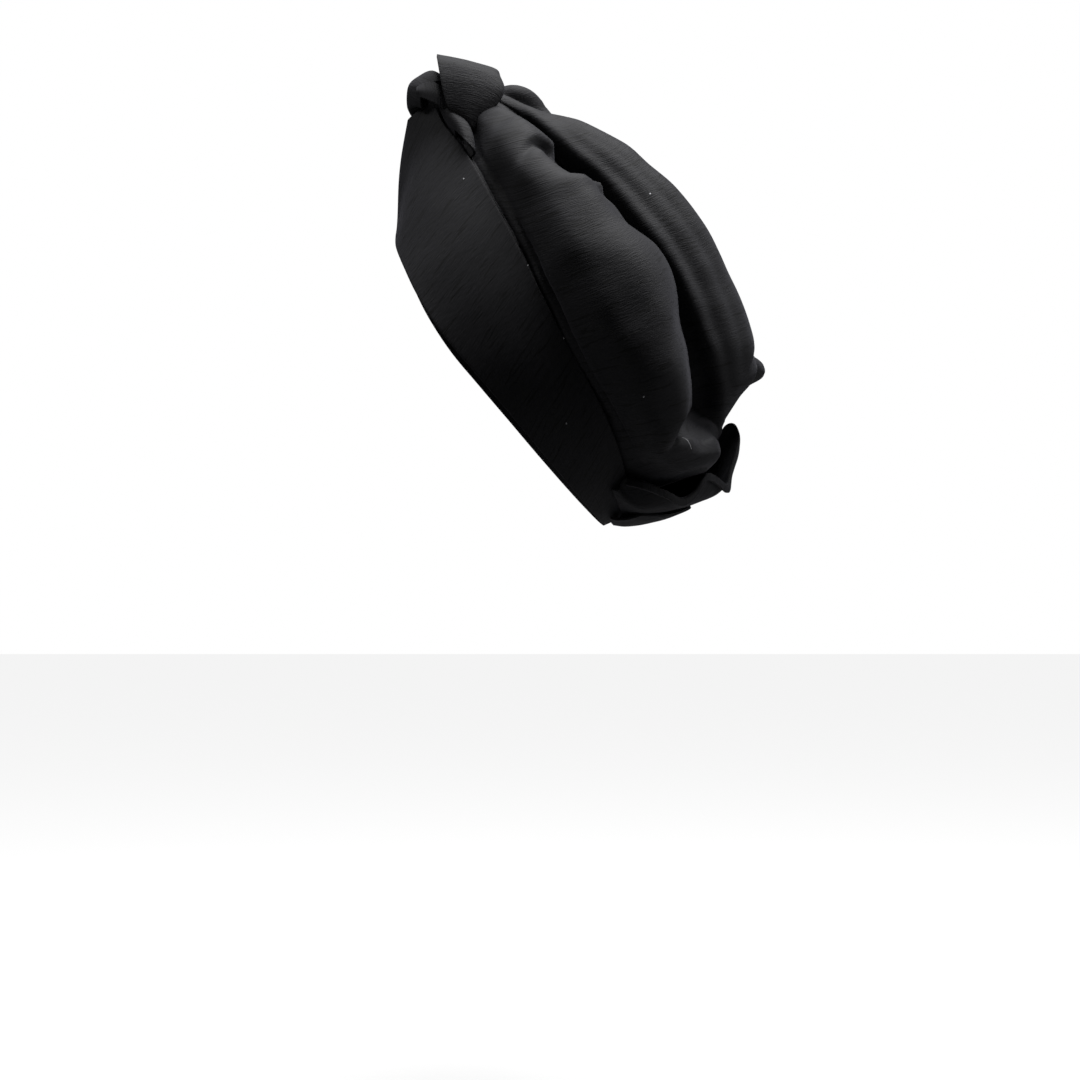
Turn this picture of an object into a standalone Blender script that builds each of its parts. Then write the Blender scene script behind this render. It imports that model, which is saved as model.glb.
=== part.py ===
"""A pre-tied turban headwrap: a wide brow band, a crown of padded rolls, a front knot and a cuff at the nape.

The wrap is drawn upright on its opening: X to the wearer's left, Y to the back, Z up from the opening.
The root empty then leans it back to the pose in which it is worn. Lengths are metres.
The tables hold shares of the named sizes: side of the half width, back of the half length, up of the height.
"""

import math
from collections import namedtuple

import bpy
import numpy as np

# Driving dimensions
OPENING_LENGTH = 0.202
OPENING_WIDTH = 0.156
CROWN_HEIGHT = 0.143
LEAN = math.radians(54.6)
CLOTH = 0.0020
GAP = 0.0008
SEAT_GAP = 0.0005
BAND_BOW = 0.0020
ROUGHNESS = 0.62

# Mesh fineness
BAND_COLUMNS = 56
BAND_ROWS = 5
CROWN_CELLS_ALONG = (2, 3, 4, 4, 3, 3, 2, 2, 2, 2, 2, 2, 2, 2, 2)  # cells along, from row to row of its table
CROWN_CELLS_ACROSS = (1, 1, 1, 2, 2, 2, 1, 2, 2, 2, 2, 2, 2)  # cells across, from control to control
STRAP_CELLS = (18, 5)
TONGUE_CELLS = (12, 8)
EAR_CELLS = (7, 4)
TUCK_CELLS = (10, 8)
CUFF_CELLS = (28, 9)
ROLL_CELLS = (15, 6)
FOLD_STEPS = 9
SLOPE_STEP = 0.05  # of a row or a column of a net, for reading its slope

HALF_WIDTH = OPENING_WIDTH / 2
HALF_LENGTH = OPENING_LENGTH / 2
NEXT = CLOTH + GAP  # between the middles of two sheets that lie on each other
ON = CLOTH + SEAT_GAP  # from the middle of the band to the middle of a sheet that is seated on its outside
HEM_SHARE = 0.72  # how far up the band the sheets inside it start
HEM_RISE = 0.3 * CLOTH  # how far they stand above the band's edge where they pass it
HEM_OVER = NEXT + 0.6 * CLOTH  # how far they stand above it where they come out over it
HEM_OUT = -0.2 * CLOTH  # how far outside the band's middle they are there
BAND_TILT = -0.3  # how much the bow of the band faces down

# The band from brow to nape on one side. turn: degrees round the opening; drop: how far the lower edge dips;
# side, back, up: its upper edge.
BandRow = namedtuple("BandRow", "turn drop side back up")
BAND = [
    BandRow(0, 0.000, 0.00, -1.485, 0.300),
    BandRow(12, 0.008, 0.16, -1.470, 0.375),
    BandRow(25, 0.035, 0.31, -1.330, 0.400),
    BandRow(40, 0.060, 0.49, -1.120, 0.400),
    BandRow(55, 0.082, 0.70, -0.860, 0.378),
    BandRow(70, 0.088, 0.87, -0.575, 0.350),
    BandRow(85, 0.074, 0.98, -0.280, 0.315),
    BandRow(100, 0.058, 1.02, 0.030, 0.282),
    BandRow(115, 0.044, 0.99, 0.300, 0.260),
    BandRow(130, 0.030, 0.89, 0.545, 0.236),
    BandRow(145, 0.018, 0.69, 0.755, 0.200),
    BandRow(162, 0.006, 0.37, 0.925, 0.155),
    BandRow(180, 0.000, 0.00, 0.990, 0.135),
]

# The crown from the knot to the nape on one side. turn: where its hem meets the band; lip, crest, rise: the
# lower edge and the upper edge of the side roll, and the lower edge of the top roll, each as (side, back, up);
# ridge: the parting of the two top rolls as (back, up); belly, valley, puff: how far the side roll swells,
# the groove above it sinks and the top roll swells, as shares of the height; lift: extra height of the far side.
CrownRow = namedtuple("CrownRow", "turn lip crest rise ridge belly valley puff lift")
CROWN = [
    CrownRow(33, (0.25, -1.290, 0.475), (0.24, -1.340, 0.560), (0.15, -1.375, 0.600), (-1.390, 0.625),
             0.01, 0.01, 0.01, 0.00),
    CrownRow(38, (0.34, -1.150, 0.480), (0.28, -1.200, 0.625), (0.17, -1.215, 0.660), (-1.215, 0.685),
             0.02, 0.02, 0.02, 0.060),
    CrownRow(46, (0.58, -0.985, 0.445), (0.42, -0.985, 0.680), (0.24, -1.030, 0.715), (-1.075, 0.745),
             0.08, 0.06, 0.03, 0.045),
    CrownRow(57, (0.77, -0.740, 0.405), (0.55, -0.800, 0.665), (0.36, -0.780, 0.760), (-0.900, 0.845),
             0.10, 0.09, 0.06, 0.04),
    CrownRow(66, (0.89, -0.560, 0.385), (0.67, -0.520, 0.725), (0.43, -0.520, 0.800), (-0.663, 0.915),
             0.11, 0.10, 0.08, 0.03),
    CrownRow(78, (1.01, -0.310, 0.350), (0.80, -0.225, 0.740), (0.52, -0.225, 0.815), (-0.367, 0.955),
             0.12, 0.12, 0.10, 0.02),
    CrownRow(91, (1.08, -0.050, 0.315), (0.90, 0.020, 0.762), (0.56, 0.050, 0.815), (-0.089, 0.963),
             0.12, 0.12, 0.10, 0.02),
    CrownRow(103, (1.10, 0.150, 0.292), (0.93, 0.235, 0.712), (0.58, 0.250, 0.795), (0.183, 0.942),
             0.12, 0.12, 0.10, 0.02),
    CrownRow(114, (1.08, 0.340, 0.278), (0.95, 0.430, 0.642), (0.57, 0.440, 0.760), (0.450, 0.900),
             0.12, 0.12, 0.10, 0.02),
    CrownRow(126, (1.01, 0.535, 0.268), (0.94, 0.610, 0.580), (0.52, 0.620, 0.725), (0.685, 0.862),
             0.10, 0.12, 0.08, 0.02),
    CrownRow(137, (0.93, 0.700, 0.262), (0.90, 0.730, 0.515), (0.44, 0.750, 0.692), (0.766, 0.850),
             0.08, 0.11, 0.06, 0.02),
    CrownRow(148, (0.84, 0.850, 0.262), (0.86, 0.800, 0.420), (0.34, 0.830, 0.655), (0.821, 0.745),
             0.05, 0.10, 0.03, 0.00),
    CrownRow(158, (0.73, 0.990, 0.308), (0.76, 0.925, 0.468), (0.24, 0.895, 0.616), (0.885, 0.660),
             0.04, 0.08, 0.01, 0.00),
    CrownRow(166, (0.60, 1.045, 0.390), (0.58, 0.995, 0.530), (0.17, 0.940, 0.600), (0.925, 0.630),
             0.03, 0.03, 0.00, 0.00),
    CrownRow(172, (0.36, 1.070, 0.385), (0.32, 1.020, 0.520), (0.10, 0.970, 0.585), (0.938, 0.605),
             0.02, 0.01, 0.00, 0.00),
    CrownRow(177, (0.055, 1.055, 0.370), (0.045, 1.020, 0.470), (0.035, 0.985, 0.545), (0.945, 0.580),
             0.01, 0.00, 0.00, 0.00),
]

HEART = (0.40, 0.45)  # what the swells face away from: its back as a share of the ridge's, and its up
BELLY_AT = (0.30, 0.75)  # shares of the way from lip to crest
BRINK_AT = 0.12  # where the cloth turns down from the crest, as a share of the way to the rise
BRINK_DROP = 0.085  # how far it has sunk there, as a share of the valley's depth
VALLEY_AT = (0.34, 0.84)  # shares of the way from crest to rise
PUFF_AT = (0.22, 0.62)  # shares of the way from rise to ridge
PUFF_START = 0.95  # how much of the puff the first of them takes

# The scalloped crest of the side roll. row: place on the rows of the crown's table.
CrestPoint = namedtuple("CrestPoint", "row side back up")
CREST_LINE = [
    CrestPoint(0.60, 0.255, -1.255, 0.600),
    CrestPoint(1.10, 0.290, -1.170, 0.630),
    CrestPoint(1.55, 0.340, -1.090, 0.655),
    CrestPoint(2.00, 0.390, -0.995, 0.676),
    CrestPoint(2.35, 0.440, -0.925, 0.690),
    CrestPoint(2.65, 0.480, -0.868, 0.688),
    CrestPoint(2.85, 0.510, -0.830, 0.645),
    CrestPoint(3.40, 0.560, -0.700, 0.641),
    CrestPoint(3.75, 0.600, -0.600, 0.670),
    CrestPoint(3.95, 0.640, -0.535, 0.742),
    CrestPoint(4.20, 0.665, -0.470, 0.722),
    CrestPoint(4.50, 0.690, -0.385, 0.735),
    CrestPoint(4.90, 0.740, -0.260, 0.735),
    CrestPoint(5.20, 0.780, -0.165, 0.754),
    CrestPoint(5.60, 0.830, -0.070, 0.772),
    CrestPoint(6.20, 0.880, 0.070, 0.760),
    CrestPoint(6.90, 0.920, 0.228, 0.717),
    CrestPoint(7.60, 0.945, 0.381, 0.657),
    CrestPoint(8.50, 0.970, 0.530, 0.605),
    CrestPoint(9.60, 0.975, 0.690, 0.550),
    CrestPoint(10.3, 0.950, 0.768, 0.500),
    CrestPoint(10.7, 0.890, 0.765, 0.450),
    CrestPoint(11.0, 0.865, 0.775, 0.395),
    CrestPoint(11.4, 0.840, 0.835, 0.412),
    CrestPoint(12.0, 0.780, 0.900, 0.450),
    CrestPoint(12.6, 0.700, 0.948, 0.482),
    CrestPoint(13.0, 0.610, 0.975, 0.532),
]
FAR_CREST = 0.8  # how much of it the far roll shows
CREST_PULL = {5: 0.45, 6: 1.0, 7: 0.8, 8: 0.3}  # how far each numbered control follows it, the crest wholly

# Folds pressed into the crown. side: 1 near, -1 far; start, end: (row, control) numbers of the crown's net;
# width, height: shares of the height of the crown, a negative height being a hollow.
Fold = namedtuple("Fold", "side start end width height")
FOLDS = [
    Fold(1, (1.6, 5.7), (1.9, 3.6), 0.035, -0.010),
    Fold(1, (2.7, 6.4), (2.9, 4.2), 0.024, -0.022),
    Fold(1, (3.0, 6.2), (3.1, 4.6), 0.020, 0.008),
    Fold(1, (3.8, 6.3), (3.3, 5.1), 0.028, 0.016),
    Fold(1, (4.1, 6.2), (3.7, 4.9), 0.022, -0.016),
    Fold(1, (4.9, 6.1), (4.5, 5.2), 0.030, -0.008),
    Fold(1, (10.8, 6.4), (10.4, 5.0), 0.022, -0.020),
    Fold(1, (8.6, 3.6), (11.0, 4.6), 0.050, 0.012),
    Fold(-1, (2.8, 6.2), (2.5, 4.0), 0.045, -0.022),
    Fold(-1, (3.4, 6.0), (3.1, 4.0), 0.045, 0.018),
    Fold(-1, (4.0, 6.2), (3.7, 4.4), 0.040, -0.020),
    Fold(-1, (9.8, 6.2), (10.4, 4.8), 0.040, -0.024),
    Fold(-1, (8.6, 3.4), (11.0, 4.6), 0.050, 0.014),
]
FOLD_END = 0.12  # how far along half a wave a fold starts and ends

# The strap over the knot, from its top to its tucked end on one side. front, rear: its two edges, as (back, up).
StrapRow = namedtuple("StrapRow", "side front rear")
STRAP = [
    StrapRow(0.00, (-1.645, 0.520), (-1.365, 0.678)),
    StrapRow(0.24, (-1.650, 0.520), (-1.360, 0.672)),
    StrapRow(0.35, (-1.570, 0.492), (-1.300, 0.615)),
    StrapRow(0.39, (-1.460, 0.458), (-1.230, 0.526)),
    StrapRow(0.38, (-1.400, 0.442), (-1.205, 0.482)),
]

# The tongue of cloth in front of the knot, upwards on the centre line. half: its half width; lift: how far its
# sides stand above its middle.
TongueRow = namedtuple("TongueRow", "back up half lift")
TONGUE = [
    TongueRow(-1.575, 0.345, 0.140, 0.045),
    TongueRow(-1.640, 0.395, 0.175, 0.030),
    TongueRow(-1.650, 0.455, 0.200, 0.010),
    TongueRow(-1.605, 0.495, 0.230, 0.000),
]
TONGUE_SWEEP = 0.10  # how far its sides turn back, as a share of the half length
TONGUE_TURN = 9.0  # half the turn that it takes up at the band

# The ear of cloth on each side of the tongue, from front to rear.
EarRow = namedtuple("EarRow", "upper lower")
EAR = [
    EarRow((0.21, -1.596, 0.398), (0.22, -1.554, 0.381)),
    EarRow((0.24, -1.568, 0.432), (0.25, -1.512, 0.404)),
    EarRow((0.27, -1.511, 0.463), (0.28, -1.456, 0.434)),
    EarRow((0.29, -1.446, 0.477), (0.30, -1.406, 0.454)),
]
EAR_BOW = 0.0030

# The tuck between the band and the strap on each side. out, above: its crest, off the band's upper edge.
TuckRow = namedtuple("TuckRow", "turn out above")
TUCK = [
    TuckRow(11.0, -0.030, 0.056),
    TuckRow(13.5, -0.010, 0.066),
    TuckRow(17.0, 0.008, 0.056),
    TuckRow(20.0, 0.030, 0.046),
    TuckRow(23.5, 0.012, 0.050),
    TuckRow(27.0, 0.034, 0.052),
    TuckRow(30.0, 0.012, 0.052),
]
TUCK_TOP = 1.5  # how far above the edge its inner end is, as a share of its crest's

# The cuff at the nape, from the near side to the far side.
CuffRow = namedtuple("CuffRow", "turn belly rim")
CUFF = [
    CuffRow(150, (0.575, 0.875, 0.135), (0.590, 0.870, 0.170)),
    CuffRow(155, (0.530, 0.985, 0.150), (0.590, 0.960, 0.225)),
    CuffRow(160, (0.490, 1.060, 0.180), (0.577, 1.050, 0.267)),
    CuffRow(165, (0.430, 1.120, 0.235), (0.526, 1.138, 0.300)),
    CuffRow(169, (0.360, 1.165, 0.290), (0.449, 1.145, 0.360)),
    CuffRow(173, (0.290, 1.190, 0.345), (0.372, 1.105, 0.442)),
    CuffRow(176, (0.200, 1.210, 0.390), (0.256, 1.160, 0.471)),
    CuffRow(180, (0.100, 1.220, 0.420), (0.141, 1.230, 0.489)),
    CuffRow(184, (0.000, 1.195, 0.430), (0.038, 1.168, 0.541)),
    CuffRow(187, (-0.100, 1.170, 0.430), (-0.077, 1.090, 0.618)),
    CuffRow(190, (-0.210, 1.175, 0.400), (-0.170, 1.035, 0.655)),
    CuffRow(193, (-0.310, 1.185, 0.355), (-0.280, 1.010, 0.650)),
    CuffRow(196, (-0.400, 1.180, 0.300), (-0.380, 1.050, 0.635)),
    CuffRow(200, (-0.500, 1.160, 0.250), (-0.500, 1.080, 0.580)),
    CuffRow(204, (-0.580, 1.100, 0.200), (-0.620, 1.090, 0.480)),
    CuffRow(207, (-0.610, 1.030, 0.170), (-0.690, 1.070, 0.350)),
    CuffRow(210, (-0.590, 0.885, 0.135), (-0.610, 0.885, 0.170)),
]
CUFF_FOOT = 0.60  # how far up the band its lower edge lies
CUFF_SAG = 0.02  # how far its lower part bellies out, as a share of the half length

# The roll of cloth under the cuff, from the near side to the far side. top: how far up the cuff's lower part
# it reaches; puff: how far it stands out.
RollRow = namedtuple("RollRow", "turn top puff")
ROLL = [
    RollRow(164, 0.44, 0.015),
    RollRow(171, 0.68, 0.022),
    RollRow(180, 0.72, 0.026),
    RollRow(189, 0.66, 0.028),
    RollRow(196, 0.60, 0.024),
    RollRow(202, 0.40, 0.015),
]
ROLL_FOOT = 0.30  # how far up the band its lower edge lies
ROLL_TOP_OUT = 1.3 * NEXT  # how far its upper edge stands off the cuff
ROLL_LOW = (0.15, 0.8)  # its lower control point: share of the way up, and of the puff
ROLL_HIGH = (0.60, 1.0)  # its upper control point


def clear_scene():
    """Starts from an empty scene."""
    for obj in list(bpy.data.objects):
        bpy.data.objects.remove(obj, do_unlink=True)


def at(side, back, up):
    """A place in metres from its shares of the half width, the half length and the height."""
    return np.array((side * HALF_WIDTH, back * HALF_LENGTH, up * CROWN_HEIGHT))


def unit(vector):
    """A vector, or each vector of an array, brought to length one."""
    return vector / np.linalg.norm(vector, axis=-1, keepdims=True)


def through(rows, places, ring=False):
    """Reads a smooth curve through rows of points at fractional row numbers."""
    rows = np.asarray(rows, float)
    count = len(rows)
    ahead = np.roll(rows, -1, axis=0) if ring else rows[1:]
    chord = np.linalg.norm(ahead - rows[:len(ahead)], axis=-1)
    span = np.sqrt(chord.reshape(len(ahead), -1).mean(axis=1)) + 1e-9
    span = span.reshape((-1,) + (1,) * (rows.ndim - 1))
    slope = (ahead - rows[:len(ahead)]) / span
    if ring:
        before, width_before = np.roll(slope, 1, axis=0), np.roll(span, 1, axis=0)
        tangent = (slope * width_before + before * span) / (span + width_before)
    else:
        inner = (slope[1:] * span[:-1] + slope[:-1] * span[1:]) / (span[1:] + span[:-1])
        tangent = np.concatenate([slope[:1], inner, slope[-1:]])
    places = np.asarray(places, float)
    low = np.floor(places).astype(int)
    low = low % count if ring else np.clip(low, 0, count - 2)
    t = (places - np.floor(places) if ring else places - low).reshape((-1,) + (1,) * (rows.ndim - 1))
    high = (low + 1) % count if ring else low + 1
    width = span[low]
    return ((2 * t**3 - 3 * t**2 + 1) * rows[low] + (t**3 - 2 * t**2 + t) * width * tangent[low]
            + (3 * t**2 - 2 * t**3) * rows[high] + (t**3 - t**2) * width * tangent[high])


def loft(net, along, across):
    """A grid of points on the smooth surface through a net of control points."""
    lengthwise = through(net, along)
    return np.swapaxes(through(np.swapaxes(lengthwise, 0, 1), across), 0, 1)


def band_ring():
    """The lower edge, the bowed middle and the upper edge of the band, right round the opening."""
    rows = []
    for row in BAND:
        angle = math.radians(row.turn)
        low = np.array((HALF_WIDTH * math.sin(angle), -HALF_LENGTH * math.cos(angle), -row.drop * CROWN_HEIGHT))
        high = at(row.side, row.back, row.up)
        outward = unit(np.array((math.sin(angle), -math.cos(angle), BAND_TILT)))
        rows.append((low, (low + high) / 2 + BAND_BOW * outward, high))
    near = np.array(rows)
    far = near[-2:0:-1] * (-1, 1, 1)
    return np.concatenate([near, far])


def off_net(net, row, column, out, above=0.0, ring=False):
    """A place on the surface through a net, moved off along its normal and on along its columns."""
    here, ahead, behind = through(net, [row, row + SLOPE_STEP, row - SLOPE_STEP], ring=ring)
    point, before = through(here, [column, column - SLOPE_STEP])
    upward = unit(point - before)
    onward = through(ahead, [column])[0] - through(behind, [column])[0]
    outward = unit(np.cross(onward, upward))
    return point + out * outward + above * upward


def on_band(turn, share, out=0.0, above=0.0):
    """A place share of the way up the band, moved outwards and on past its upper edge. Turns run 0 to 360."""
    turns = [row.turn for row in BAND]
    turn = turn % 360
    last = len(turns) - 1
    place = np.interp(min(turn, 360 - turn), turns, range(last + 1))
    row = place if turn <= 180 else 2 * last - place
    return off_net(band_ring(), row, 2 * share, out, above, ring=True)


def make_material(name, colour):
    """A dull cloth of one colour."""
    material = bpy.data.materials.new(name)
    material.use_nodes = True
    shader = material.node_tree.nodes["Principled BSDF"]
    shader.inputs["Base Color"].default_value = (*colour, 1.0)
    shader.inputs["Roughness"].default_value = ROUGHNESS
    shader.inputs["Metallic"].default_value = 0.0
    material.diffuse_color = (*colour, 1.0)
    return material


def make_sheet(name, grid, root, colour, ring=False):
    """One piece of cloth from the grid of its middle surface."""
    grid = np.asarray(grid)
    rows, columns = grid.shape[:2]
    faces = []
    for i in range(rows if ring else rows - 1):
        j = (i + 1) % rows
        for k in range(columns - 1):
            faces.append((i * columns + k, j * columns + k, j * columns + k + 1, i * columns + k + 1))
    mesh = bpy.data.meshes.new(name)
    mesh.from_pydata([tuple(point) for point in grid.reshape(-1, 3)], [], faces)
    mesh.shade_smooth()
    obj = bpy.data.objects.new(name, mesh)
    bpy.context.scene.collection.objects.link(obj)
    obj.parent = root
    mesh.materials.append(make_material(name, colour))
    wall = obj.modifiers.new("cloth", "SOLIDIFY")
    wall.thickness = CLOTH
    wall.offset = 0.0
    wall.use_even_offset = True
    return obj


def brow_band():
    """The band right round the opening."""
    ring = band_ring()
    around = np.linspace(0, len(ring), BAND_COLUMNS, endpoint=False)
    rows = through(ring, around, ring=True)
    return np.swapaxes(through(np.swapaxes(rows, 0, 1), np.linspace(0, 2, BAND_ROWS + 1)), 0, 1)


def hem(turn):
    """Three places where a sheet starts inside the band, passes its upper edge and comes out over it."""
    return [
        on_band(turn, HEM_SHARE, -NEXT),
        on_band(turn, 1.0, -NEXT, HEM_RISE),
        on_band(turn, 1.0, HEM_OUT, HEM_OVER),
    ]


def crown_half(row, side):
    """The control points across one half of the crown, from its hem to the top roll."""
    lift = 0.0 if side > 0 else row.lift * CROWN_HEIGHT
    turn = side * row.turn
    mirror = np.array((side, 1, 1))
    lip, crest, rise = (at(*share) * mirror for share in (row.lip, row.crest, row.rise))
    crest = crest + (0, 0, lift)
    rise = rise + (0, 0, lift)
    ridge = at(0, *row.ridge)
    heart = at(0, HEART[0] * row.ridge[0], HEART[1])

    def swell(start, end, share, height):
        """A place between two points, raised away from the heart of the crown."""
        point = start + share * (end - start)
        chord = unit(end - start)
        outward = point - heart
        outward = unit(outward - chord * np.dot(chord, outward))
        return point + height * CROWN_HEIGHT * outward

    return hem(turn) + [
        lip,
        swell(lip, crest, BELLY_AT[0], row.belly),
        swell(lip, crest, BELLY_AT[1], row.belly),
        crest,
        swell(crest, rise, BRINK_AT, -BRINK_DROP * row.valley),
        swell(crest, rise, VALLEY_AT[0], -row.valley),
        swell(crest, rise, VALLEY_AT[1], -row.valley),
        rise,
        swell(rise, ridge, PUFF_AT[0], PUFF_START * row.puff),
        swell(rise, ridge, PUFF_AT[1], row.puff),
    ]


def steps(counts):
    """Places along a table, with so many equal steps from each of its rows to the next."""
    places = [index + step / count for index, count in enumerate(counts) for step in range(count)]
    return np.array(places + [len(counts)])


def draw_crest(rows, along):
    """Draws the crest of each side roll, with the cloth beside it, on to the scalloped line."""
    line = np.array([(point.row, point.side, point.back, point.up) for point in CREST_LINE])
    drawn = (along > line[0, 0]) & (along < line[-1, 0])
    share = np.interp(along[drawn], line[:, 0], range(len(line)))
    crest = through(line[:, 1:], share) * (HALF_WIDTH, HALF_LENGTH, CROWN_HEIGHT)
    pull = crest - rows[drawn, max(CREST_PULL, key=CREST_PULL.get)]
    for control, weight in CREST_PULL.items():
        rows[drawn, control] += weight * pull
        rows[drawn, -1 - control] += weight * FAR_CREST * pull * (-1, 1, 1)


def crown():
    """The whole crown, from hem to hem over the top, as rows from the knot to the nape."""
    net = []
    for row in CROWN:
        near = crown_half(row, 1)
        far = crown_half(row, -1)
        net.append(near + [at(0, *row.ridge)] + far[::-1])
    along = steps(CROWN_CELLS_ALONG)
    rows = through(np.array(net), along)
    turns = through(np.array([[row.turn] for row in CROWN]), along)[:, 0]
    for row, turn in zip(rows, turns):
        row[:3] = hem(turn)
        row[:-4:-1] = hem(-turn)
    draw_crest(rows, along)
    across = steps(CROWN_CELLS_ACROSS + CROWN_CELLS_ACROSS[::-1])
    grid = np.swapaxes(through(np.swapaxes(rows, 0, 1), across), 0, 1)
    return press_folds(grid, np.array(net))


def press_folds(grid, net):
    """Raises and hollows the crown along its folds, each fading out towards its ends."""
    normals = unit(np.cross(np.gradient(grid, axis=0), np.gradient(grid, axis=1)))
    last = net.shape[1] - 1
    shares = np.linspace(0, 1, FOLD_STEPS)
    moved = grid.copy()
    for fold in FOLDS:
        nearest = np.full(grid.shape[:2], np.inf)
        height = np.zeros(grid.shape[:2])
        for share in shares:
            row, control = (a + share * (b - a) for a, b in zip(fold.start, fold.end))
            if fold.side < 0:
                control = last - control
            centre = through(through(net, [row])[0], [control])[0]
            distance = np.linalg.norm(grid - centre, axis=-1)
            closer = distance < nearest
            nearest = np.where(closer, distance, nearest)
            wave = math.sin(math.pi * (FOLD_END + (1 - 2 * FOLD_END) * share))
            height = np.where(closer, fold.height * wave, height)
        ridge = height * np.exp(-(nearest / (fold.width * CROWN_HEIGHT)) ** 2)
        moved += normals * ridge[..., None] * CROWN_HEIGHT
    return moved


def evenly(net, cells):
    """A grid of so many cells along and across the surface through a net."""
    net = np.array(net)
    rows, columns = cells
    return loft(net, np.linspace(0, len(net) - 1, rows + 1), np.linspace(0, net.shape[1] - 1, columns + 1))


def knot_strap():
    """The strap over the knot, from its near end to its far end."""
    net = []
    for side in (1, -1):
        rows = STRAP[::-1] if side > 0 else STRAP[1:]
        for row in rows:
            front = at(side * row.side, *row.front)
            rear = at(side * row.side, *row.rear)
            net.append([front, (front + rear) / 2, rear])
    return evenly(net, STRAP_CELLS)


def knot_tongue():
    """The tongue, up from inside the band's edge."""
    steps = np.linspace(-1, 1, TONGUE_CELLS[1] + 1)
    feet = [hem(step * TONGUE_TURN) for step in steps]
    net = [[foot[level] for foot in feet] for level in range(len(feet[0]))]
    for row in TONGUE:
        line = []
        for step in steps:
            sweep = TONGUE_SWEEP * HALF_LENGTH * (row.half / TONGUE[-1].half) * step ** 2
            lift = row.lift * CROWN_HEIGHT * step ** 2
            line.append(at(row.half * step, row.back, row.up) + (0, sweep, lift))
        net.append(line)
    return evenly(net, TONGUE_CELLS)


def knot_ear(side):
    """The ear on one side of the tongue."""
    net = []
    for row in EAR:
        upper = at(*row.upper) * (side, 1, 1)
        lower = at(*row.lower) * (side, 1, 1)
        net.append([upper, (upper + lower) / 2 + (side * EAR_BOW, 0, 0), lower])
    return evenly(net, EAR_CELLS)


def tuck(side):
    """The tuck on one side, up from inside the band's edge and over its crest."""
    net = []
    for row in TUCK:
        turn = side * row.turn
        crest = on_band(turn, 1.0, row.out * HALF_WIDTH, row.above * CROWN_HEIGHT)
        top = on_band(turn, 1.0, -NEXT, TUCK_TOP * row.above * CROWN_HEIGHT)
        net.append(hem(turn) + [crest, top])
    return evenly(net, TUCK_CELLS)


def cuff_net():
    """The control points of the cuff, from the band up to its rim."""
    net = []
    for row in CUFF:
        foot = on_band(row.turn, CUFF_FOOT, ON)
        belly = at(*row.belly)
        sag = CUFF_SAG * HALF_LENGTH * unit(foot * (1, 1, 0))
        net.append([foot, (foot + belly) / 2 + sag, belly, at(*row.rim)])
    return np.array(net)


def nape_cuff():
    """The cuff, from the near side to the far side."""
    return evenly(cuff_net(), CUFF_CELLS)


def nape_roll():
    """The roll between the band and the cuff."""
    turns = [row.turn for row in CUFF]
    cuff = cuff_net()
    net = []
    for row in ROLL:
        place = np.interp(row.turn, turns, range(len(turns)))
        foot = on_band(row.turn, ROLL_FOOT, ON)
        top = off_net(cuff, place, 2 * row.top, ROLL_TOP_OUT)
        chord = unit(top - foot)
        outward = unit(foot * (1, 1, 0))
        outward = unit(outward - chord * np.dot(chord, outward))
        swell = row.puff * HALF_LENGTH * outward
        low, high = (foot + way * (top - foot) + puff * swell for way, puff in (ROLL_LOW, ROLL_HIGH))
        net.append([foot, low, high, top])
    return evenly(net, ROLL_CELLS)


def build():
    """Makes every piece under the leaning root."""
    clear_scene()
    root = bpy.data.objects.new("wrap", None)
    root.rotation_euler = (-LEAN, 0, 0)
    bpy.context.scene.collection.objects.link(root)
    make_sheet("brow_band", brow_band(), root, (0.010, 0.010, 0.013), ring=True)
    make_sheet("crown", crown(), root, (0.012, 0.012, 0.015))
    make_sheet("knot_strap", knot_strap(), root, (0.013, 0.013, 0.016))
    make_sheet("knot_tongue", knot_tongue(), root, (0.011, 0.011, 0.014))
    for name, side in (("left", 1), ("right", -1)):
        make_sheet("knot_fold_" + name, knot_ear(side), root, (0.012, 0.012, 0.015))
        make_sheet("tuck_" + name, tuck(side), root, (0.010, 0.010, 0.013))
    make_sheet("nape_cuff", nape_cuff(), root, (0.009, 0.009, 0.012))
    make_sheet("nape_roll", nape_roll(), root, (0.008, 0.008, 0.010))
    bpy.context.view_layer.update()


build()
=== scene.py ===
"""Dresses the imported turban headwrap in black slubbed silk, and sets it in a plain studio."""

import math
from collections import namedtuple

import bpy
import numpy as np
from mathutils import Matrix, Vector, noise


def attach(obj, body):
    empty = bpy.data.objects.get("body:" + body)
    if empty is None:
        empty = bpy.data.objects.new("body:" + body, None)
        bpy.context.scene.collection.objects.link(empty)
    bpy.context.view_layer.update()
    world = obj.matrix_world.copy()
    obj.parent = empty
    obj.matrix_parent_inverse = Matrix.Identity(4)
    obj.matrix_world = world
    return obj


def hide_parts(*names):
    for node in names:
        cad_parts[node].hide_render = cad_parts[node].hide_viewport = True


bl_info = {
    "name": "Turban headwrap",
    "version": (1, 0, 0),
    "blender": (4, 5, 0),
    "location": "View3D > Sidebar > Headwrap",
    "description": "Makes the cloth of a pre-tied turban headwrap over its solid model",
    "category": "Object",
}

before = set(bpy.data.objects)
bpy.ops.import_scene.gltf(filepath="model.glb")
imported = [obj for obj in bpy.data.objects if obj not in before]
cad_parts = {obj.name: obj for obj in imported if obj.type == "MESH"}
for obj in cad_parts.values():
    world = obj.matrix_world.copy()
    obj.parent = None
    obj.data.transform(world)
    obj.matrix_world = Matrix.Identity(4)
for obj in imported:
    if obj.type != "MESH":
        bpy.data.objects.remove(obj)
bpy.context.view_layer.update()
BODY = "root"

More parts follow.
